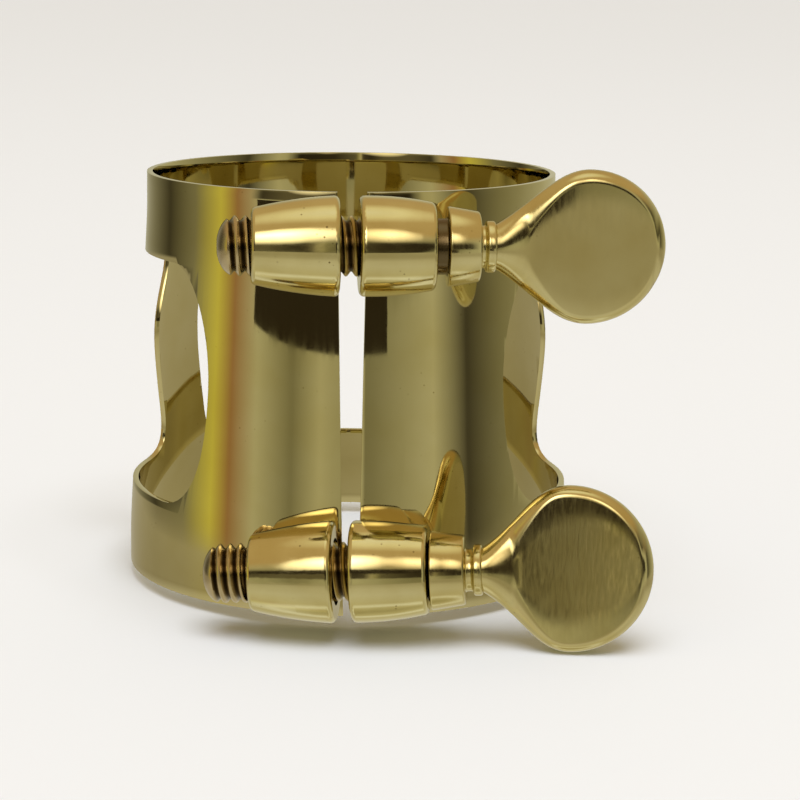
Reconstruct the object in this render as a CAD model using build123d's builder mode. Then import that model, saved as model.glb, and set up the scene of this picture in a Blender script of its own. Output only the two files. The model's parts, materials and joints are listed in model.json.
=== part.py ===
from build123d import *

import os
from math import cos, radians, sin, tan

os.makedirs("parts", exist_ok=True)

# An adjustable band clamp for a woodwind mouthpiece and its reed, all in millimetres.
# The origin is the centre of the wide mouth, +Z runs to the narrow mouth, the slit faces -Y,
# and the thumb screws lie along X with their paddles towards +X.
# Azimuths are in degrees, counted from the slit (-Y) towards +X.

# The band, one sheet rolled to a slight cone with a short straight land at each mouth
band_height = 24.9
sheet = 0.35
wide_bore = 13.7
narrow_bore = 12.45
land = 2.5

# The slit: half openings either side of x = 0 at the wide and at the narrow mouth
slit_left = (-0.25, -0.8)
slit_right = (0.62, 0.95)

# The windows leave a waisted front panel, two bowed struts and a ring at each mouth
wide_ring_top = 5.35
narrow_ring_bottom = 20.0
waist_height = 12.8
waist_azimuth = {"left": 38.8, "right": 43.3}
side_window_centre = 75.0

# The gap where the sheet is parted at the back, so that its two halves can swing
back_gap = 0.1

# The posts' feet and barrels, and the bores: the left posts are opened past the thread, the right ones run free
foot_half_height = 1.75
foot_inset = 0.35
barrel_belly = 0.13
rim_round = 0.3
threaded_post_bore = 1.95
clearance_post_bore = 1.76
shaft_radius = 1.7

# Each screw and its two posts. Lengths run along the screw's own axis from x = 0. The posts are
# soldered on by hand, so each axis is a few degrees off: skew turns its paddle away from the band,
# and tilt lifts it towards the narrow mouth. paddle_turn is how far the screw has been turned, so
# that the flat of its paddle looks towards the narrow mouth.
rows = {
    "upper": {
        "axis_height": 22.12,
        "standoff": 15.2,
        "skew": -3.0,
        "tilt": -0.1,
        "left_post": {"inner": -0.64, "outer": -5.65, "wide": 2.87, "slim": 2.15},
        "right_post": {"inner": 0.47, "outer": 4.8, "wide": 2.85, "slim": 2.48},
        "tip": -7.6,
        "collar": (5.48, 7.32),
        "bead": (7.66, 8.2),
        "paddle_turn": -4,
        "paddle_centre": 13.5,
        "paddle_radius": 4.45,
    },
    "lower": {
        "axis_height": 3.35,
        "standoff": 16.25,
        "skew": 6.0,
        "tilt": 3.0,
        "left_post": {"inner": -0.7, "outer": -5.65, "wide": 2.98, "slim": 2.2},
        "right_post": {"inner": 0.25, "outer": 4.7, "wide": 2.95, "slim": 2.5},
        "tip": -8.46,
        "collar": (4.84, 6.82),
        "bead": (7.28, 7.8),
        "paddle_turn": 9,
        "paddle_centre": 12.75,
        "paddle_radius": 4.78,
    },
}
collar_radii = (2.3, 2.0)
bead_radius = 1.48
neck_radius = 1.28
paddle_thickness = 1.8
paddle_edge_round = 0.75


def radial_plane(azimuth, distance):
    # an upright plane that faces outwards, this far from the ring's axis
    angle = radians(azimuth)
    outward = Vector(sin(angle), -cos(angle), 0)
    return Plane(origin=outward * distance, x_dir=(cos(angle), sin(angle), 0), z_dir=outward)


def side_window(waist):
    # Bezier control points (azimuth, height): up the waisted edge of the front panel, then down the
    # strut, which is bowed forwards above its middle
    return [
        [(waist + 16, wide_ring_top), (waist + 4.5, wide_ring_top), (waist, 8.2), (waist, waist_height)],
        [(waist, waist_height), (waist, 16.3), (waist + 6.5, narrow_ring_bottom),
         (waist + 16, narrow_ring_bottom)],
        [(104, narrow_ring_bottom), (112.5, narrow_ring_bottom), (111.6, 18.5), (109.2, 17.1)],
        [(109.2, 17.1), (105.6, 15.0), (104.9, 14.15), (108.2, 11.8)],
        [(112.4, 8.8), (116.2, 6.1), (113.5, wide_ring_top), (103, wide_ring_top)],
    ]


def back_window():
    # the same, counted from the middle of the back: up the right-hand strut, then down the left-hand one
    right_edge = [
        [(36, wide_ring_top), (44.5, wide_ring_top), (46.4, 6.2), (48, 8)],
        [(48, 8), (52, 12.4), (53.9, 14.7), (50.6, 17.2)],
        [(50.6, 17.2), (48.3, 18.95), (45, narrow_ring_bottom), (36, narrow_ring_bottom)],
    ]
    left_edge = [[(-azimuth, height) for azimuth, height in curve[::-1]] for curve in right_edge[::-1]]
    return right_edge + left_edge


def on_radial_plane(curves, centre, distance, sign=1):
    # radial lines through the outline meet an upright plane at this distance here
    return [
        [(sign * distance * tan(radians(azimuth - centre)), height) for azimuth, height in curve]
        for curve in curves
    ]


def screw_plane(row):
    # local X along the screw, local Y towards the band
    turn, rise = radians(row["skew"]), radians(row["tilt"])
    return Plane(
        origin=(0, -row["standoff"], row["axis_height"]),
        x_dir=(cos(turn) * cos(rise), -sin(turn) * cos(rise), sin(rise)),
        z_dir=(-cos(turn) * sin(rise), sin(turn) * sin(rise), cos(rise)),
    )


def paddle_facing(row):
    # the direction that the front of the paddle looks in
    return -screw_plane(row).y_dir.rotate(Axis((0, 0, 0), screw_plane(row).x_dir), -row["paddle_turn"])


def plane_across_screw(row, along):
    # a plane square to the screw, its local X through the thickness of the paddle
    screw = screw_plane(row)
    return Plane(origin=screw.origin + screw.x_dir * along, x_dir=paddle_facing(row), z_dir=-screw.x_dir)


# The band's outer form, whole, for cutting the posts' feet to it
outer_profile = [
    (0, 0),
    (wide_bore + sheet, 0),
    (wide_bore + sheet, land),
    (narrow_bore + sheet, band_height - land),
    (narrow_bore + sheet, band_height),
    (0, band_height),
]
with BuildPart() as band_form:
    with BuildSketch(Plane.XZ):
        with BuildLine():
            Polyline(outer_profile, close=True)
        make_face()
    revolve(axis=Axis.Z)

# The rolled band, still in one piece
with BuildPart() as band:
    add(band_form.part)
    with BuildSketch(Plane.XZ):
        with BuildLine():
            Polyline(
                (0, 0),
                (wide_bore, 0),
                (wide_bore, land),
                (narrow_bore, band_height - land),
                (narrow_bore, band_height),
                (0, band_height),
                close=True,
            )
        make_face()
    revolve(axis=Axis.Z, mode=Mode.SUBTRACT)

    # the slit, slightly narrower at the wide mouth
    with BuildSketch(Plane.XZ):
        with BuildLine():
            Polyline(
                (slit_left[0], 0),
                (slit_right[0], 0),
                (slit_right[1], band_height),
                (slit_left[1], band_height),
                close=True,
            )
        make_face()
    extrude(amount=2 * wide_bore, mode=Mode.SUBTRACT)

    # the windows, cut square to the sheet: their radial walls converge on the ring's axis
    for outline, centre, facing, sign in (
        (side_window(waist_azimuth["right"]), side_window_centre, side_window_centre, 1),
        (side_window(waist_azimuth["left"]), side_window_centre, -side_window_centre, -1),
        (back_window(), 0, 180, 1),
    ):
        for distance in (0.58 * narrow_bore, 1.1 * wide_bore):
            with BuildSketch(radial_plane(facing, distance)):
                curves = on_radial_plane(outline, centre, distance, sign)
                with BuildLine():
                    for curve, following in zip(curves, curves[1:] + curves[:1]):
                        Bezier(*curve)
                        if curve[-1] != following[0]:
                            Line(curve[-1], following[0])
                make_face()
        loft(ruled=True, mode=Mode.SUBTRACT)

# The two halves of the band, which part at the back so that the flex there can be a hinge
for side, sign in (("left", -1), ("right", 1)):
    with BuildPart() as band_half:
        add(band.part)
        split(bisect_by=Plane.YZ.offset(sign * back_gap / 2), keep=Keep.TOP if sign > 0 else Keep.BOTTOM)
    band_half.part.label = f"band_{side}_half"
    export_step(band_half.part, f"parts/band_{side}_half.step")

# The four posts: an olive-shaped barrel on a foot that sits on the band
for row_name, row in rows.items():
    axis_line = Axis(screw_plane(row).origin, screw_plane(row).x_dir)
    for side, bore in (("left", threaded_post_bore), ("right", clearance_post_bore)):
        size = row[f"{side}_post"]
        outward = 1 if size["outer"] > size["inner"] else -1
        middle = (size["inner"] + size["outer"]) / 2
        with BuildPart() as post:
            with BuildSketch(screw_plane(row)):
                with BuildLine():
                    ThreePointArc(
                        (size["inner"], -size["wide"]),
                        (middle, -(size["wide"] + size["slim"]) / 2 - barrel_belly),
                        (size["outer"], -size["slim"]),
                    )
                    Polyline(
                        (size["outer"], -size["slim"]),
                        (size["outer"], 0),
                        (size["inner"], 0),
                        (size["inner"], -size["wide"]),
                    )
                make_face()
            revolve(axis=axis_line)
            rims = post.edges().filter_by(GeomType.CIRCLE).sort_by(axis_line)
            fillet(rims, radius=rim_round)

            # the foot, between the barrel and the sheet
            with BuildSketch(screw_plane(row).offset(-foot_half_height)):
                foot_length = abs(size["outer"] - size["inner"]) - 2 * foot_inset
                with Locations((middle, wide_bore / 4)):
                    Rectangle(foot_length, wide_bore / 2)
            extrude(amount=2 * foot_half_height)
            add(band_form.part, mode=Mode.SUBTRACT)

            with BuildSketch(plane_across_screw(row, size["inner"] - outward)):
                Circle(bore)
            extrude(amount=-12 * outward, mode=Mode.SUBTRACT)
        post.part.label = f"{row_name}_{side}_post"
        export_step(post.part, f"parts/{row_name}_{side}_post.step")

# The two thumb screws, each one piece from the domed tip to the flat paddle
for row_name, row in rows.items():
    collar_start, collar_end = row["collar"]
    bead_start, bead_end = row["bead"]
    flare_start = bead_end + 0.15
    centre, radius = row["paddle_centre"], row["paddle_radius"]
    screw = screw_plane(row)

    # the paddle, a flat drop shape with its rim well rounded
    with BuildPart() as paddle:
        with BuildSketch(Plane(screw.origin, x_dir=screw.x_dir, z_dir=paddle_facing(row))):
            with BuildLine():
                for half in (1, -1):
                    Bezier(
                        (flare_start, half * neck_radius),
                        (flare_start + 0.45 * radius, half * 0.54 * radius),
                        (centre - 0.43 * radius, half * radius),
                        (centre, half * radius),
                    )
                ThreePointArc((centre, radius), (centre + radius, 0), (centre, -radius))
                Line((flare_start, neck_radius), (flare_start, -neck_radius))
            make_face()
        extrude(amount=paddle_thickness / 2, both=True)
        across = Axis(screw.origin, paddle_facing(row))
        flats = paddle.faces().filter_by(across).sort_by(across)
        fillet(flats[0].edges() + flats[-1].edges(), radius=paddle_edge_round)

    with BuildPart() as thumb_screw:
        with BuildSketch(screw):
            with BuildLine():
                dome = ThreePointArc(
                    (row["tip"], 0),
                    (row["tip"] + 0.28, -0.62 * shaft_radius),
                    (row["tip"] + 1.0, -shaft_radius),
                )
                Polyline(
                    dome @ 1,
                    (collar_start, -shaft_radius),
                    (collar_start, -collar_radii[0]),
                    (collar_end, -collar_radii[1]),
                    (collar_end, -neck_radius),
                    (bead_start, -neck_radius),
                    (bead_start, -bead_radius),
                    (bead_end, -bead_radius),
                    (bead_end, -neck_radius),
                    (flare_start, -neck_radius),
                    (flare_start, 0),
                    (row["tip"], 0),
                )
            make_face()
        revolve(axis=Axis(screw.origin, screw.x_dir))
        add(paddle.part)

        # the neck, flattening as it runs out into the paddle
        for along, level, upright in (
            (flare_start, neck_radius, neck_radius),
            (flare_start + 0.3 * radius, 1.05, 0.36 * radius),
            (flare_start + 0.6 * radius, 0.6 * paddle_thickness / 2, 0.42 * radius),
        ):
            with BuildSketch(plane_across_screw(row, along)):
                Ellipse(level, upright)
        loft()
    thumb_screw.part.label = f"{row_name}_thumb_screw"
    export_step(thumb_screw.part, f"parts/{row_name}_thumb_screw.step")
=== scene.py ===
import json
from math import atan2, cos, degrees, hypot, pi, radians, sin, sqrt

import bmesh
import bpy
from mathutils import Matrix, Vector
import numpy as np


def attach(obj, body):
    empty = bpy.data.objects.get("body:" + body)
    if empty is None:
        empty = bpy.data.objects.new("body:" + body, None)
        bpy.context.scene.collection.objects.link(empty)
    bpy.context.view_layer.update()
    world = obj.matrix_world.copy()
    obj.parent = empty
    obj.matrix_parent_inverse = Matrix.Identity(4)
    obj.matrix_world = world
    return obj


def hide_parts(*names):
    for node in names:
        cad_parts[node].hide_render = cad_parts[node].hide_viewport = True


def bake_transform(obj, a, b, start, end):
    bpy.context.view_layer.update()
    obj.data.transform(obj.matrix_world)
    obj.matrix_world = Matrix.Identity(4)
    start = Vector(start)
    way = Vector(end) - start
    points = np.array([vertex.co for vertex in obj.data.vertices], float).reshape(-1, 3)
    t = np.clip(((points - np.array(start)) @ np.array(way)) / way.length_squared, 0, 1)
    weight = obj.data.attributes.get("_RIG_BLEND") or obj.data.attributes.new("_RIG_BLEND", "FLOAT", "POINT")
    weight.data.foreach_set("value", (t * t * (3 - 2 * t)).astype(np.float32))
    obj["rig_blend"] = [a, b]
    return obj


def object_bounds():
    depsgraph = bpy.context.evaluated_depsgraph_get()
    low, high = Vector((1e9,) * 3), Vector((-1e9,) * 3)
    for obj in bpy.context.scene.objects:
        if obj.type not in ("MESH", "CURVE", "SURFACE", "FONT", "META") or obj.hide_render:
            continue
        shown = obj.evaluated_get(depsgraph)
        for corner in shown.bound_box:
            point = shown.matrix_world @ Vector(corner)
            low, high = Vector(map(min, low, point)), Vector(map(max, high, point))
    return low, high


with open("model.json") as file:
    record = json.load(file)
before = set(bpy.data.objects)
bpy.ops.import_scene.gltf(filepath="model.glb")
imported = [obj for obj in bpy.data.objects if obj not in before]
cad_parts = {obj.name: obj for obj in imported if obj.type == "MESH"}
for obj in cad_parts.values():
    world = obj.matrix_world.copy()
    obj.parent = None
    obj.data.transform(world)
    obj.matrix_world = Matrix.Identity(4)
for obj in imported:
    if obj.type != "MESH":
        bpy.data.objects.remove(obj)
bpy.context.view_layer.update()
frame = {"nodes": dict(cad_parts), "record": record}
mm = 0.001  # the pieces are modelled in millimetres and scaled once, when they are finished
joints = {joint["name"]: joint for joint in frame["record"]["behaviour"]["joints"]}


def linear(hexColour):
    # an sRGB hex colour as the linear RGBA that the shaders take
    parts = [int(hexColour[i:i + 2], 16) / 255 for i in (1, 3, 5)]
    return [p / 12.92 if p <= 0.04045 else ((p + 0.055) / 1.055) ** 2.4 for p in parts] + [1.0]


def addNode(tree, kind, settings=None, inputs=None, stops=()):
    # one node, its settings, its inputs (a socket is linked, anything else is a value) and its colour stops
    node = tree.nodes.new(kind)
    for name, value in (settings or {}).items():
        setattr(node, name, value)
    for name, value in (inputs or {}).items():
        if isinstance(value, bpy.types.NodeSocket):
            tree.links.new(value, node.inputs[name])
        else:
            node.inputs[name].default_value = value
    while stops and len(node.color_ramp.elements) < len(stops):
        node.color_ramp.elements.new(0.5)
    for stop, (place, hexColour) in enumerate(stops):
        node.color_ramp.elements[stop].position = place
        node.color_ramp.elements[stop].color = linear(hexColour)
    return node


def newPiece(name, bm, materials, smoothAngle=None):
    # a finished bmesh in metres becomes an object at the origin
    mesh = bpy.data.meshes.new(name)
    bm.to_mesh(mesh)
    bm.free()
    for material in materials:
        mesh.materials.append(material)
    mesh.polygons.foreach_set("use_smooth", [True] * len(mesh.polygons))
    if smoothAngle is not None:
        mesh.set_sharp_from_angle(angle=radians(smoothAngle))
    piece = bpy.data.objects.new(name, mesh)
    bpy.context.scene.collection.objects.link(piece)
    return piece


def applyModifiers(piece):
    # the modifiers' result becomes the mesh, so that nothing is left live
    evaluated = piece.evaluated_get(bpy.context.evaluated_depsgraph_get())
    mesh = bpy.data.meshes.new_from_object(evaluated)
    piece.modifiers.clear()
    old = piece.data
    piece.data = mesh
    mesh.name = piece.name
    bpy.data.meshes.remove(old)


def smoothStep(value):
    value = min(max(value, 0.0), 1.0)
    return value * value * (3 - 2 * value)


# a short telephoto, a hand's length in front and a little above
viewpoint = {
    "place": (0, -142.1, 38.9), "tilt": 78.57, "turn": -0.02, "roll": 0.52,
    "lens": 101.6, "shift": 0.0625, "nearClip": 0.005,
}

cameraData = bpy.data.cameras.new("camera")
cameraData.lens = viewpoint["lens"]
cameraData.shift_x = viewpoint["shift"]
cameraData.clip_start = viewpoint["nearClip"]
camera = bpy.data.objects.new("camera", cameraData)
camera.matrix_world = (
    Matrix.Translation(Vector(viewpoint["place"]) * mm)
    @ Matrix.Rotation(radians(viewpoint["turn"]), 4, "Z")
    @ Matrix.Rotation(radians(viewpoint["tilt"]), 4, "X")
    @ Matrix.Rotation(radians(viewpoint["roll"]), 4, "Z")
)
bpy.context.scene.collection.objects.link(camera)
bpy.context.scene.camera = camera
print("camera placed")


def brassMaterial(name, look):
    # polished brass under clear lacquer: mirror-like, with a faint waviness, hairlines and specks
    material = bpy.data.materials.new(name)
    material.use_nodes = True
    tree = material.node_tree
    tree.nodes.clear()
    place = addNode(tree, "ShaderNodeTexCoord").outputs["Object"]

    # slow cloudiness of the lacquer
    cloud = addNode(tree, "ShaderNodeTexNoise", None,
                    {"Vector": place, "Scale": 1 / (look["cloudSize"] * mm), "Detail": 3.0, "Roughness": 0.55})
    tint = addNode(tree, "ShaderNodeValToRGB", None, {"Fac": cloud.outputs["Fac"]},
                   stops=[(0.3, look["deepColour"]), (0.7, look["colour"])])

    # hairlines from the polishing, stretched along one direction; real ones are finer and wouldn't show
    stretched = addNode(tree, "ShaderNodeMapping", None, {"Vector": place, "Scale": look["hairlineStretch"]})
    hairlines = addNode(tree, "ShaderNodeTexNoise", None,
                        {"Vector": stretched.outputs["Vector"], "Scale": 1 / (look["hairlineSize"] * mm),
                         "Detail": 4.0, "Roughness": 0.6})

    # specks of dirt and pits
    specks = addNode(tree, "ShaderNodeTexVoronoi", {"feature": "F1"},
                     {"Vector": place, "Scale": 1 / (look["speckGap"] * mm), "Randomness": 1.0})
    speckMask = addNode(tree, "ShaderNodeMapRange", None,
                        {"Value": specks.outputs["Distance"], "From Min": look["speckSize"] / look["speckGap"],
                         "From Max": 0.4 * look["speckSize"] / look["speckGap"], "To Min": 0.0, "To Max": 1.0})
    speckPatch = addNode(tree, "ShaderNodeTexNoise", None,
                         {"Vector": place, "Scale": 1 / (look["speckPatch"] * mm), "Detail": 1.0})
    speckWhere = addNode(tree, "ShaderNodeMapRange", None,
                         {"Value": speckPatch.outputs["Fac"], "From Min": 0.52, "From Max": 0.66})
    speckAmount = addNode(tree, "ShaderNodeMath", {"operation": "MULTIPLY"})
    tree.links.new(speckMask.outputs["Result"], speckAmount.inputs[0])
    tree.links.new(speckWhere.outputs["Result"], speckAmount.inputs[1])

    colour = addNode(tree, "ShaderNodeMix", {"data_type": "RGBA"})
    tree.links.new(speckAmount.outputs[0], colour.inputs["Factor"])
    tree.links.new(tint.outputs["Color"], colour.inputs[6])
    colour.inputs[7].default_value = linear(look["speckColour"])

    rough = addNode(tree, "ShaderNodeMapRange", None,
                    {"Value": hairlines.outputs["Fac"], "From Min": 0.3, "From Max": 0.75,
                     "To Min": look["roughness"][0], "To Max": look["roughness"][1]})

    wave = addNode(tree, "ShaderNodeTexNoise", None,
                   {"Vector": place, "Scale": 1 / (look["waveSize"] * mm), "Detail": 1.5, "Roughness": 0.5})
    waveBump = addNode(tree, "ShaderNodeBump", None,
                       {"Height": wave.outputs["Fac"], "Distance": look["waveHeight"] * mm, "Strength": 1.0})
    lineBump = addNode(tree, "ShaderNodeBump", None,
                       {"Height": hairlines.outputs["Fac"], "Distance": look["hairlineDepth"] * mm, "Strength": 1.0,
                        "Normal": waveBump.outputs["Normal"]})

    shader = addNode(tree, "ShaderNodeBsdfPrincipled", None,
                     {"Metallic": 1.0, "Base Color": colour.outputs[2], "Roughness": rough.outputs["Result"],
                      "Normal": lineBump.outputs["Normal"]})
    addNode(tree, "ShaderNodeOutputMaterial", None, {"Surface": shader.outputs["BSDF"]})
    return material


# rolled and lacquered sheet: it mirrors the posts, with long upright streaks
rolledBrass = brassMaterial("brassRolledLacquered", {
    "colour": "#d2c796", "deepColour": "#cabd85", "cloudSize": 5.0,
    "hairlineStretch": (1.0, 1.0, 0.06), "hairlineSize": 0.35, "hairlineDepth": 0.0006,
    "speckGap": 0.5, "speckSize": 0.05, "speckPatch": 2.5, "speckColour": "#8d7a3c",
    "roughness": (0.02, 0.07), "waveSize": 6.0, "waveHeight": 0.012,
})

# turned and buffed barrels: brighter, with small pits
turnedBrass = brassMaterial("brassTurnedBuffed", {
    "colour": "#dad09a", "deepColour": "#cfc288", "cloudSize": 3.0,
    "hairlineStretch": (0.2, 1.0, 1.0), "hairlineSize": 0.25, "hairlineDepth": 0.0005,
    "speckGap": 0.45, "speckSize": 0.07, "speckPatch": 2.5, "speckColour": "#6f5a2a",
    "roughness": (0.07, 0.15), "waveSize": 2.0, "waveHeight": 0.014,
})

# cast thumb screws, ground flat on the paddle: fine scratches blur the reflection a little
groundBrass = brassMaterial("brassCastGround", {
    "colour": "#d8cd97", "deepColour": "#cdbf84", "cloudSize": 4.0,
    "hairlineStretch": (1.0, 1.0, 0.12), "hairlineSize": 0.18, "hairlineDepth": 0.0012,
    "speckGap": 0.6, "speckSize": 0.05, "speckPatch": 2.5, "speckColour": "#84703a",
    "roughness": (0.09, 0.2), "waveSize": 3.5, "waveHeight": 0.006,
})

# the groove colour is painted shade, reached where the thread sinks deepest
threadLook = {"crest": "#c6b48c", "groove": "#57492f", "roughness": 0.22, "grain": 0.12, "grainDepth": 0.004}


def threadMaterial():
    # cut brass, unpolished: coppery on the crests, with painted shade that turns it dark brown the deeper the
    # groove
    material = bpy.data.materials.new("brassCutThread")
    material.use_nodes = True
    tree = material.node_tree
    tree.nodes.clear()
    place = addNode(tree, "ShaderNodeTexCoord").outputs["Object"]
    groove = addNode(tree, "ShaderNodeAttribute", {"attribute_name": "groove"})
    # painted shade: the colour darkens with the vertex's depth in the groove
    shade = addNode(tree, "ShaderNodeValToRGB", None, {"Fac": groove.outputs["Fac"]},
                    stops=[(0.25, threadLook["crest"]), (0.85, threadLook["groove"])])
    grain = addNode(tree, "ShaderNodeTexNoise", None,
                    {"Vector": place, "Scale": 1 / (threadLook["grain"] * mm), "Detail": 3.0})
    bump = addNode(tree, "ShaderNodeBump", None,
                   {"Height": grain.outputs["Fac"], "Distance": threadLook["grainDepth"] * mm})
    shader = addNode(tree, "ShaderNodeBsdfPrincipled", None,
                     {"Metallic": 1.0, "Base Color": shade.outputs["Color"], "Roughness": threadLook["roughness"],
                      "Normal": bump.outputs["Normal"]})
    addNode(tree, "ShaderNodeOutputMaterial", None, {"Surface": shader.outputs["BSDF"]})
    return material


cutThread = threadMaterial()
print("materials made")

# the band is cut flat, rolled to its cone, and given its thickness and its deburred edges
band = {
    "height": 24.9, "sheet": 0.35, "wideRadius": 14.05, "narrowRadius": 12.8, "land": 2.5, "landBlend": 0.05,
    "slitLeft": (-0.25, -0.8), "slitRight": (0.62, 0.95),
    "wideRingTop": 5.35, "narrowRingBottom": 20.0, "waistHeight": 12.8,
    "waistAzimuth": {"left": 38.8, "right": 43.3},
    "edgeRound": 0.09, "flatPerDegree": 0.24, "mergeWithin": 0.03, "curveSteps": 14,
    "sliceAngle": 2.0, "sliceHeight": 0.7, "slicesPerMouth": 7, "middleSlices": [9, 12.45, 16],
}
# the sheet turns from one body to the other between these, across the back and no wider than the slit, in metres
bendStart, bendEnd = (0.00055, 0.0132, 0.0125), (-0.0002, 0.0132, 0.0125)


def bandRadius(height):
    # the outside of the sheet: a cone that eases into a straight land at each mouth
    run = (height - band["land"]) / (band["height"] - 2 * band["land"])
    eased = (hypot(run, band["landBlend"]) - hypot(run - 1, band["landBlend"]) + 1) / 2
    return band["wideRadius"] + (band["narrowRadius"] - band["wideRadius"]) * eased


def sideWindow(waist):
    # Bezier pieces (azimuth, height): up the waisted edge of the front panel, down the bowed strut
    low, high, middle = band["wideRingTop"], band["narrowRingBottom"], band["waistHeight"]
    return [
        [(waist + 16, low), (waist + 4.5, low), (waist, 8.2), (waist, middle)],
        [(waist, middle), (waist, 16.3), (waist + 6.5, high), (waist + 16, high)],
        [(104, high), (112.5, high), (111.6, 18.5), (109.2, 17.1)],
        [(109.2, 17.1), (105.6, 15.0), (104.9, 14.15), (108.2, 11.8)],
        [(108.2, 11.8), (109.4, 10.95), (111.1, 9.7), (112.4, 8.8)],
        [(112.4, 8.8), (116.2, 6.1), (113.5, low), (103, low)],
    ]


def backWindow():
    low, high = band["wideRingTop"], band["narrowRingBottom"]
    right = [
        [(216, low), (224.5, low), (226.4, 6.2), (228, 8)],
        [(228, 8), (232, 12.4), (233.9, 14.7), (230.6, 17.2)],
        [(230.6, 17.2), (228.3, 18.95), (225, high), (216, high)],
    ]
    return right + [[(360 - azimuth, height) for azimuth, height in piece[::-1]] for piece in right[::-1]]


def slitAzimuth(halfOpening, height):
    return degrees(atan2(halfOpening, bandRadius(height)))


def straight(start, end):
    start, end = Vector(start), Vector(end)
    return [start, start.lerp(end, 1 / 3), start.lerp(end, 2 / 3), end]


def addOutline(curve, pieces):
    # one closed outline, with straight lines where a piece doesn't start at the last one's end
    whole = []
    for piece, following in zip(pieces, pieces[1:] + pieces[:1]):
        whole.append(piece)
        if tuple(piece[-1]) != tuple(following[0]):
            whole.append(straight(piece[-1], following[0]))
    spline = curve.splines.new("BEZIER")
    spline.bezier_points.add(len(whole) - 1)
    spline.use_cyclic_u = True
    for point in spline.bezier_points:
        point.handle_left_type = point.handle_right_type = "FREE"
    for index, piece in enumerate(whole):
        corners = [(corner[0] * band["flatPerDegree"], corner[1], 0) for corner in piece]
        point = spline.bezier_points[index]
        following = spline.bezier_points[(index + 1) % len(whole)]
        point.co, point.handle_right, following.handle_left = corners[:3]


def flatSheet():
    # the sheet before it is rolled, azimuth along X and height along Y
    curve = bpy.data.curves.new("bandFlat", "CURVE")
    curve.dimensions = "2D"
    curve.fill_mode = "BOTH"
    curve.resolution_u = band["curveSteps"]
    top = band["height"]
    corners = [
        (slitAzimuth(band["slitRight"][0], 0), 0),
        (360 + slitAzimuth(band["slitLeft"][0], 0), 0),
        (360 + slitAzimuth(band["slitLeft"][1], top), top),
        (slitAzimuth(band["slitRight"][1], top), top),
    ]
    addOutline(curve, [straight(a, b) for a, b in zip(corners, corners[1:] + corners[:1])])
    addOutline(curve, sideWindow(band["waistAzimuth"]["right"]))
    addOutline(curve, [[(360 - azimuth, height) for azimuth, height in piece]
                       for piece in sideWindow(band["waistAzimuth"]["left"])])
    addOutline(curve, backWindow())
    drawing = bpy.data.objects.new("bandFlat", curve)
    bpy.context.scene.collection.objects.link(drawing)
    mesh = bpy.data.meshes.new_from_object(drawing.evaluated_get(bpy.context.evaluated_depsgraph_get()))
    bpy.data.objects.remove(drawing)
    bm = bmesh.new()
    bm.from_mesh(mesh)
    bpy.data.meshes.remove(mesh)
    bmesh.ops.remove_doubles(bm, verts=bm.verts, dist=1e-5)
    bmesh.ops.dissolve_limit(bm, angle_limit=radians(0.05), verts=bm.verts, edges=bm.edges,
                             use_dissolve_boundaries=False)
    return bm


def buildBand():
    bm = flatSheet()
    # sliced upright for the roll, and level where the cone eases into its lands
    azimuths = [band["sliceAngle"] * step for step in range(1, int(360 / band["sliceAngle"]))]
    rises = [band["sliceHeight"] * step for step in range(1, band["slicesPerMouth"] + 1)]
    levels = rises + [band["height"] - rise for rise in rises] + band["middleSlices"]
    slices = [((azimuth * band["flatPerDegree"], 0, 0), (1, 0, 0)) for azimuth in azimuths]
    slices += [((0, level, 0), (0, 1, 0)) for level in levels]
    for place, facing in slices:
        bmesh.ops.bisect_plane(bm, geom=bm.verts[:] + bm.edges[:] + bm.faces[:], dist=1e-6,
                               plane_co=place, plane_no=facing)
    bmesh.ops.remove_doubles(bm, verts=bm.verts, dist=band["mergeWithin"])
    bmesh.ops.dissolve_degenerate(bm, dist=0.005, edges=bm.edges)
    if sum(face.normal.z for face in bm.faces) < 0:
        bmesh.ops.reverse_faces(bm, faces=bm.faces)
    for vert in bm.verts:
        azimuth, height = radians(vert.co.x / band["flatPerDegree"]), vert.co.y
        radius = bandRadius(height)
        vert.co = Vector((sin(azimuth) * radius, -cos(azimuth) * radius, height)) * mm
    piece = newPiece("band_sheet", bm, [rolledBrass])

    solid = piece.modifiers.new("sheet", "SOLIDIFY")
    solid.thickness = band["sheet"] * mm
    solid.offset = -1
    edge = piece.modifiers.new("deburr", "BEVEL")
    edge.width = band["edgeRound"] * mm
    edge.segments = 2
    edge.limit_method = "ANGLE"
    edge.angle_limit = radians(50)
    weighted = piece.modifiers.new("shade", "WEIGHTED_NORMAL")
    weighted.weight = 80
    applyModifiers(piece)

    # the sheet flexes across the back
    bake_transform(piece, "right_side", "left_side", start=bendStart, end=bendEnd)
    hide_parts("band_right_half", "band_left_half")
    return piece


bandSheet = buildBand()
print("band rolled:", len(bandSheet.data.polygons), "faces")

# the posts keep their CAD shape
for node in ("upper_left_post", "upper_right_post", "lower_left_post", "lower_right_post"):
    for materialSlot in frame["nodes"][node].material_slots:
        materialSlot.material = turnedBrass
print("posts finished")
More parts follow.
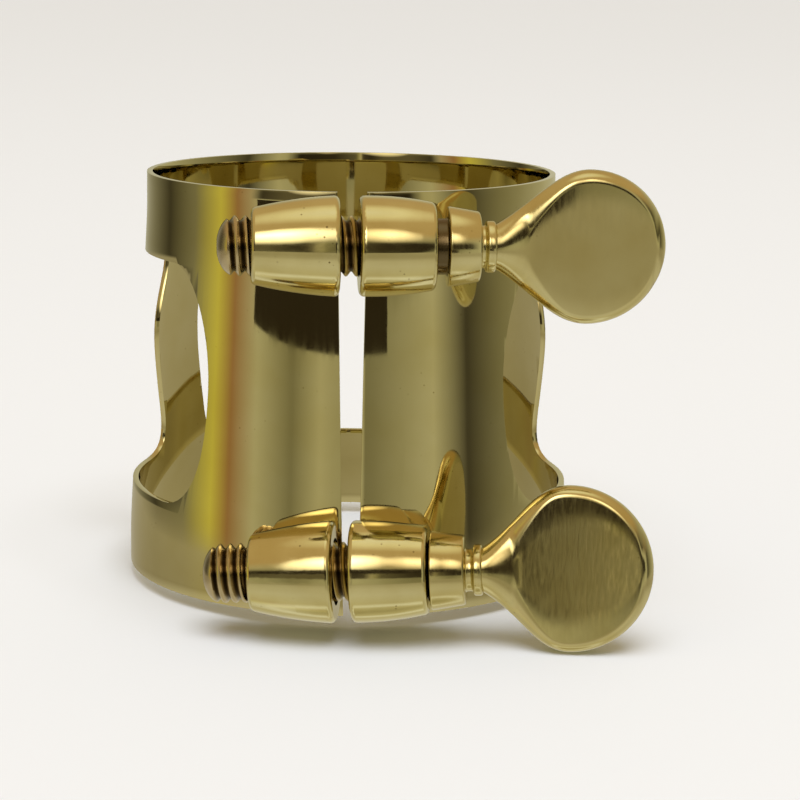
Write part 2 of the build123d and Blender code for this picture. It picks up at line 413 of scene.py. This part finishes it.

# a thumb screw is a thread, a collar, a bead, and a neck that flattens into the paddle
# the shank's dark colour in the gap between barrel and collar is painted shade
screwShape = {
    "pitch": 0.6, "crest": 1.73, "threadDepth": 0.3, "turnSteps": 56, "profileSteps": 8,
    "domeLength": 1.1, "shank": 1.6, "shankShade": 0.8, "collarRadii": (2.3, 2.0), "groove": 1.22,
    "beadRadius": 1.48, "neckRadius": 1.28, "paddleHalf": 0.9, "rimWidth": 0.66, "ringSteps": 72,
    "edgeRound": 0.14,
}
screws = {
    "upper": {"joint": "upper_screw_turn", "body": "upper_screw", "tip": -7.6, "threadEnd": 4.3,
              "collar": (5.48, 7.32), "bead": (7.66, 8.2), "centre": 13.5, "radius": 4.45, "turn": -4.0,
              "faceTip": 10.0},
    "lower": {"joint": "lower_screw_turn", "body": "lower_screw", "tip": -8.46, "threadEnd": 4.3,
              "collar": (4.84, 6.82), "bead": (7.28, 7.8), "centre": 12.75, "radius": 4.78, "turn": 9.0,
              "faceTip": 9.6},
}


def threadInto(bm, row):
    # one pitch of the profile, spun and advanced along the axis, then faired to a dome at the tip
    pitch, steps = screwShape["pitch"], screwShape["profileSteps"]
    start = row["tip"] - pitch
    turns = int((row["threadEnd"] - start) / pitch) + 2
    verts = []
    for step in range(steps + 1):
        rise = (0.5 - 0.5 * cos(2 * pi * step / steps)) ** 0.8
        radius = screwShape["crest"] - screwShape["threadDepth"] * (1 - rise)
        verts.append(bm.verts.new((start + pitch * step / steps, radius, 0)))
    edges = [bm.edges.new(pair) for pair in zip(verts, verts[1:])]
    bmesh.ops.spin(bm, geom=verts + edges, cent=(0, 0, 0), axis=(1, 0, 0),
                   dvec=(pitch / screwShape["turnSteps"], 0, 0), angle=2 * pi * turns,
                   steps=screwShape["turnSteps"] * turns, use_merge=False, use_duplicate=False)
    bmesh.ops.remove_doubles(bm, verts=bm.verts, dist=1e-4)
    for place, facing in (((row["tip"] + 0.03, 0, 0), (-1, 0, 0)), ((row["threadEnd"], 0, 0), (1, 0, 0))):
        bmesh.ops.bisect_plane(bm, geom=bm.verts[:] + bm.edges[:] + bm.faces[:], dist=1e-5,
                               plane_co=place, plane_no=facing, clear_outer=True)
    groove = bm.verts.layers.float.new("groove")
    for vert in bm.verts:
        radius = hypot(vert.co.y, vert.co.z)
        back = 1 - (vert.co.x - row["tip"]) / screwShape["domeLength"]
        dome = screwShape["crest"] * sqrt(max(1 - max(back, 0) ** 2, 0.002))
        fade = smoothStep((row["threadEnd"] - vert.co.x) / 0.5)
        wanted = min(radius * fade + screwShape["shank"] * (1 - fade), dome)
        # how deep the vertex sits in the thread; the thread material turns this into painted shade
        sunk = (screwShape["crest"] - radius) / screwShape["threadDepth"]
        vert[groove] = 0.0 if dome < radius else fade * sunk
        vert.co.y *= wanted / radius
        vert.co.z *= wanted / radius
    bmesh.ops.holes_fill(bm, edges=[edge for edge in bm.edges if edge.is_boundary
                                    and edge.verts[0].co.x < row["tip"] + 0.1], sides=0)
    for face in bm.faces:
        face.material_index = 1


def turnedInto(bm, row):
    # shank, collar cone, groove and bead, turned as one profile
    (collarStart, collarEnd), (beadStart, beadEnd) = row["collar"], row["bead"]
    profile = [
        (row["threadEnd"], screwShape["shank"]), (collarStart, screwShape["shank"]),
        (collarStart, screwShape["collarRadii"][0]), (collarEnd, screwShape["collarRadii"][1]),
        (collarEnd, screwShape["groove"]), (beadStart, screwShape["groove"]),
        (beadStart, screwShape["beadRadius"]), (beadEnd, screwShape["beadRadius"]),
        (beadEnd, screwShape["neckRadius"]),
    ]
    verts = [bm.verts.new((along, 0, radius)) for along, radius in profile]
    edges = [bm.edges.new(pair) for pair in zip(verts, verts[1:])]
    bmesh.ops.spin(bm, geom=verts + edges, cent=(0, 0, 0), axis=(1, 0, 0), angle=2 * pi,
                   steps=screwShape["ringSteps"], use_merge=True, use_duplicate=False)
    ring = {face for vert in verts for face in vert.link_faces}
    grown = set(ring)
    while ring:
        ring = {near for face in ring for edge in face.edges for near in edge.link_faces} - grown
        grown |= ring
    corners = {edge for face in grown for edge in face.edges
               if len(edge.link_faces) == 2 and edge.calc_face_angle(0) > radians(35)}
    bmesh.ops.bevel(bm, geom=list(corners), offset=screwShape["edgeRound"], offset_type="OFFSET", segments=3,
                    profile=0.5, affect="EDGES", clamp_overlap=True, material=-1)
    groove = bm.verts.layers.float["groove"]
    for face in bm.faces:
        middle = face.calc_center_median()
        # the shank in the gap before the collar takes the cut-thread brass, darkened as painted shade between the
        # parts
        if row["threadEnd"] < middle.x < collarStart + 0.01 and hypot(middle.y, middle.z) < screwShape["crest"]:
            face.material_index = 1
            for vert in face.verts:
                vert[groove] = screwShape["shankShade"]


def paddleSections(row):
    # (along, half width, half thickness, half width of the flat) from the bead to the far end
    start, centre, radius = row["bead"][1], row["centre"], row["radius"]
    neck, half, rim = screwShape["neckRadius"], screwShape["paddleHalf"], screwShape["rimWidth"]
    bezier = [(start, neck), (start + 0.45 * radius, 0.54 * radius), (centre - 0.43 * radius, radius),
              (centre, radius)]
    stations = []
    for step in range(0, 25):
        t = step / 24
        weights = ((1 - t) ** 3, 3 * t * (1 - t) ** 2, 3 * t * t * (1 - t), t ** 3)
        stations.append([sum(w * p[axis] for w, p in zip(weights, bezier)) for axis in (0, 1)])
    for step in range(1, 33):
        angle = pi / 2 * step / 32
        stations.append([centre + radius * sin(angle), radius * cos(angle)])
    sections = []
    for along, width in stations:
        level = half + (neck - half) * (1 - smoothStep((along - start) / (row["faceTip"] + 0.4 - start)))
        inward = along - (centre + radius - rim)
        if inward > 0:
            level = half * sqrt(max(1 - (inward / rim) ** 2, 0))
            flat = 0.0
        elif along > centre:
            flat = sqrt((radius - rim) ** 2 - (along - centre) ** 2)
        else:
            opened = min(max((along - row["faceTip"]) / 2.6, 0), 1)
            flat = max(width - rim, 0) * sqrt(1 - (1 - opened) ** 2)
        sections.append((along, width, level, flat))
    return sections


def paddleInto(bm, row):
    # rings from the bead to the far end, each two flats with a rounded rim at either side
    arcSteps, flatSteps = 9, 5
    turn = radians(row["turn"])
    ringPlaces = []  # (angle round the rim, side that the flat leans to, from 1 to -1)
    for quarter in range(4):
        side = 1 if quarter in (0, 3) else -1
        ringPlaces += [((quarter + step / arcSteps) * pi / 2, side) for step in range(arcSteps)]
        if quarter in (0, 2):
            ringPlaces += [((quarter + 1) * pi / 2, side * (1 - 2 * step / flatSteps))
                           for step in range(flatSteps)]
    made = bmesh.ops.create_circle(bm, cap_ends=False, segments=len(ringPlaces), radius=1)
    ring = sorted(made["verts"], key=lambda vert: atan2(vert.co.y, vert.co.x) % (2 * pi))
    edges = list({edge for vert in ring for edge in vert.link_edges})

    def place(verts, along, width, level, flat):
        for vert, (angle, side) in zip(verts, ringPlaces):
            across, deep = side * flat + (width - flat) * cos(angle), level * sin(angle)
            vert.co = (along, -deep * cos(turn) + across * sin(turn), across * cos(turn) + deep * sin(turn))

    sections = paddleSections(row)
    place(ring, *sections[0])
    for section in sections[1:]:
        grown = bmesh.ops.extrude_edge_only(bm, edges=edges)["geom"]
        edges = [item for item in grown if isinstance(item, bmesh.types.BMEdge)]
        new = {item for item in grown if isinstance(item, bmesh.types.BMVert)}
        ring = [next(edge.other_vert(vert) for edge in vert.link_edges if edge.other_vert(vert) in new)
                for vert in ring]
        place(ring, *section)


def buildScrew(name, row):
    bm = bmesh.new()
    threadInto(bm, row)
    turnedInto(bm, row)
    paddleInto(bm, row)
    bmesh.ops.remove_doubles(bm, verts=bm.verts, dist=2e-4)
    bmesh.ops.recalc_face_normals(bm, faces=bm.faces)
    joint = joints[row["joint"]]
    along = -Vector(joint["axis"])
    towardsBand = Vector((0, 0, 1)).cross(along).normalized()
    upright = along.cross(towardsBand)
    place = Matrix((along, towardsBand, upright)).transposed().to_4x4()
    place.translation = Vector(joint["pos_m"])
    bmesh.ops.transform(bm, matrix=place @ Matrix.Scale(mm, 4), verts=bm.verts)
    piece = newPiece(name + "_screw_turned", bm, [groundBrass, cutThread], smoothAngle=40)
    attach(piece, row["body"])
    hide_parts(name + "_thumb_screw")
    print(name, "screw made:", len(piece.data.polygons), "faces")


for name, row in screws.items():
    buildScrew(name, row)

studio = {
    "floorColour": "#e4ecf8", "floorSize": 8000, "floorGap": 0.02, "background": "#e6e6e6",
    "tableShare": 0.85,
    # where the dim wall shows, as (degrees round, share) and (degrees up, share)
    "frontSector": [(-56, 0), (-50, 1), (32, 1), (40, 0)], "darkLevels": [(-2, 0), (-0.5, 1), (12, 1), (22, 0)],
    "under": [(-12, 1), (-9.5, 0)], "above": [(14, 0), (34, 1)],  # the table and the ceiling, in degrees up
}
mirrorCards = {
    # upright cards in front that only the brass sees; one with no glow is plain
    "frontFlag": {"centre": (-27, -65, 16.5), "size": (96, 8), "colour": "#332c21", "glow": None},
    "windowGlow": {"centre": (-124, -320, 250), "size": (300, 350), "colour": "#fff6ea", "glow": 5.0},
    "faintGlow": {"centre": (84, -334, 250), "size": (200, 290), "colour": "#fff0dc", "glow": 3.0},
}
topLight = {
    "azimuth": 20, "elevation": 66, "distance": 0.7, "size": (0.4, 0.25), "power": 1.0, "colour": "#fff8ee",
}
ceilingLight = {"power": 1.7, "colour": "#f2f6ff", "spread": 50, "tilt": 20}

# what the brass mirrors round about: a plain wall with a few wide cards, as (degrees from the front, colour)
roomLook = {"wall": "#8c8870", "pale": "#c6c2a8", "shade": "#4a463a", "yellow": "#dcd266", "warm": "#a88058"}
roomCards = [
    (-180, "pale"), (-120, "shade"), (-95, "wall"), (-76, "yellow"), (-65, "warm"), (-50, "pale"), (-30, "wall"),
    (-15, "pale"), (10, "wall"), (45, "pale"), (65, "shade"), (90, "wall"), (140, "pale"), (180, "pale"),
]

# the same for the dim wall in front, above the table
darkColours = [
    (-56, "#2a251c"), (-36, "#6a6350"), (-20, "#6a6350"), (-12, "#3a3428"), (-8, "#4a4336"), (-6.6, "#5c5443"),
    (-6.0, "#cfc5a4"), (-5.4, "#cfc5a4"), (-5.0, "#5c5443"), (-4.2, "#9a9468"), (-3, "#6a6450"), (10, "#3c3529"),
    (40, "#2a251c"),
]

# the table and the ceiling, as (degrees above the horizon, colour): the table is greyer far off and bright
# close under the object, the ceiling is brightest overhead
levelColours = [
    (-90, "#b3aa86"), (-77, "#cfc8a8"), (-71, "#ffffff"), (-64, "#d2cbb0"), (-40, "#d9d5c8"), (-27, "#d2cdbd"),
    (-18, "#aca48e"), (-12, "#b8b19c"), (34, "#c6ab80"), (62, "#ceb48a"), (76, "#fbf0d2"), (90, "#fffaf0"),
]

low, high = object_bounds()
bm = bmesh.new()
bmesh.ops.create_grid(bm, x_segments=1, y_segments=1, size=studio["floorSize"] / 2 * mm)
bmesh.ops.translate(bm, verts=bm.verts, vec=(0, 0, low.z - studio["floorGap"] * mm))
paper = bpy.data.materials.new("paperMatt")
paper.use_nodes = True
paper.node_tree.nodes["Principled BSDF"].inputs["Base Color"].default_value = linear(studio["floorColour"])
paper.node_tree.nodes["Principled BSDF"].inputs["Roughness"].default_value = 0.9
floor = newPiece("floor", bm, [paper])
floor.visible_glossy = False  # the brass mirrors the room's own table below, so that its colour can be set


def addMirrorCard(name, card):
    centre, (width, height) = Vector(card["centre"]), card["size"]
    bm = bmesh.new()
    bmesh.ops.create_grid(bm, x_segments=1, y_segments=1, size=0.5)
    bmesh.ops.scale(bm, verts=bm.verts, vec=(width * mm, height * mm, 1))
    bmesh.ops.rotate(bm, verts=bm.verts, matrix=Matrix.Rotation(pi / 2, 3, "X"))
    bmesh.ops.translate(bm, verts=bm.verts, vec=centre * mm)
    material = bpy.data.materials.new(name)
    material.use_nodes = True
    tree = material.node_tree
    tree.nodes.clear()
    place = addNode(tree, "ShaderNodeTexCoord").outputs["Object"]
    local = addNode(tree, "ShaderNodeMapping", None, {
        "Vector": place, "Scale": (2 / (width * mm), 0, 2 / (height * mm)),
        "Location": (-2 * centre.x / width, 0, -2 * centre.z / height)})
    fade = addNode(tree, "ShaderNodeTexGradient", {"gradient_type": "SPHERICAL"},
                   {"Vector": local.outputs["Vector"]})
    light = addNode(tree, "ShaderNodeEmission", None,
                    {"Color": linear(card["colour"]), "Strength": card["glow"] or 1.0})
    clear = addNode(tree, "ShaderNodeBsdfTransparent")
    mixed = addNode(tree, "ShaderNodeMixShader", None, {
        "Fac": fade.outputs["Fac"] if card["glow"] else 1.0,
        1: clear.outputs["BSDF"], 2: light.outputs["Emission"]})
    addNode(tree, "ShaderNodeOutputMaterial", None, {"Surface": mixed.outputs["Shader"]})
    piece = newPiece(name, bm, [material])
    piece.visible_camera = piece.visible_diffuse = piece.visible_shadow = False
    piece.visible_transmission = piece.visible_volume_scatter = False


for name, card in mirrorCards.items():
    addMirrorCard(name, card)

# a soft light that looks at the middle of the object, azimuth 0 in front
lightData = bpy.data.lights.new("topLight", "AREA")
lightData.shape = "RECTANGLE"
lightData.size, lightData.size_y = topLight["size"]
lightData.energy = topLight["power"]
lightData.color = linear(topLight["colour"])[:3]
light = bpy.data.objects.new("topLight", lightData)
around, up = radians(topLight["azimuth"]), radians(topLight["elevation"])
centre = (low + high) / 2
place = centre + Vector((sin(around) * cos(up), -cos(around) * cos(up), sin(up))) * topLight["distance"]
light.matrix_world = Matrix.Translation(place) @ (place - centre).to_track_quat("Z", "Y").to_matrix().to_4x4()
light.visible_camera = light.visible_glossy = False
bpy.context.scene.collection.objects.link(light)

sunData = bpy.data.lights.new("ceiling", "SUN")
sunData.energy = ceilingLight["power"]
sunData.color = linear(ceilingLight["colour"])[:3]
sunData.angle = radians(ceilingLight["spread"])
sun = bpy.data.objects.new("ceiling", sunData)
sun.matrix_world = Matrix.Rotation(radians(ceilingLight["tilt"]), 4, "X")
sun.visible_glossy = False
bpy.context.scene.collection.objects.link(sun)

world = bpy.data.worlds.new("studio")
bpy.context.scene.world = world
world.use_nodes = True
tree = world.node_tree
tree.nodes.clear()
direction = addNode(tree, "ShaderNodeTexCoord").outputs["Generated"]
parts = addNode(tree, "ShaderNodeSeparateXYZ", None, {"Vector": direction})
backwards = addNode(tree, "ShaderNodeMath", {"operation": "MULTIPLY"}, {0: parts.outputs["Y"], 1: -1.0})
azimuth = addNode(tree, "ShaderNodeMath", {"operation": "ARCTAN2"},
                  {0: parts.outputs["X"], 1: backwards.outputs[0]})
turned = addNode(tree, "ShaderNodeMapRange", None, {
    "Value": azimuth.outputs[0], "From Min": -pi, "From Max": pi})
arcsine = addNode(tree, "ShaderNodeMath", {"operation": "ARCSINE"}, {0: parts.outputs["Z"]})
raised = addNode(tree, "ShaderNodeMapRange", None, {
    "Value": arcsine.outputs[0], "From Min": -pi / 2, "From Max": pi / 2})

# each ramp runs over a whole turn, or from straight down to straight up
ramps = {}
for name, (source, span, stops) in {
    "room": (turned, 180, [(degree, roomLook[card]) for degree, card in roomCards]),
    "dark": (turned, 180, darkColours),
    "levels": (raised, 90, levelColours),
    "frontSector": (turned, 180, studio["frontSector"]),
    "darkLevels": (raised, 90, studio["darkLevels"]),
    "under": (raised, 90, studio["under"]),
    "above": (raised, 90, studio["above"]),
}.items():
    grey = {0: "#000000", 1: "#ffffff"}
    ramp = addNode(tree, "ShaderNodeValToRGB", None, {"Fac": source.outputs["Result"]},
                   stops=[((degree + span) / (2 * span), grey.get(colour, colour)) for degree, colour in stops])
    ramps[name] = ramp.outputs["Color"]

frontMask = addNode(tree, "ShaderNodeMath", {"operation": "MULTIPLY"},
                    {0: ramps["frontSector"], 1: ramps["darkLevels"]})
withFront = addNode(tree, "ShaderNodeMix", {"data_type": "RGBA"}, {
    0: frontMask.outputs[0], 6: ramps["room"], 7: ramps["dark"]})
underShare = addNode(tree, "ShaderNodeMath", {"operation": "MULTIPLY"},
                     {0: ramps["under"], 1: studio["tableShare"]})
withTable = addNode(tree, "ShaderNodeMix", {"data_type": "RGBA"}, {
    0: underShare.outputs[0], 6: withFront.outputs[2], 7: ramps["levels"]})
withCeiling = addNode(tree, "ShaderNodeMix", {"data_type": "RGBA"}, {
    0: ramps["above"], 6: withTable.outputs[2], 7: ramps["levels"]})
seen = addNode(tree, "ShaderNodeBackground", None, {"Color": linear(studio["background"]), "Strength": 1.0})
lit = addNode(tree, "ShaderNodeBackground", None, {"Color": withCeiling.outputs[2], "Strength": 1.0})
rays = addNode(tree, "ShaderNodeLightPath")
mixed = addNode(tree, "ShaderNodeMixShader", None, {
    "Fac": rays.outputs["Is Camera Ray"], 1: lit.outputs["Background"], 2: seen.outputs["Background"]})
addNode(tree, "ShaderNodeOutputWorld", None, {"Surface": mixed.outputs["Shader"]})
bpy.context.scene.view_settings.view_transform = "Standard"
print("studio set")
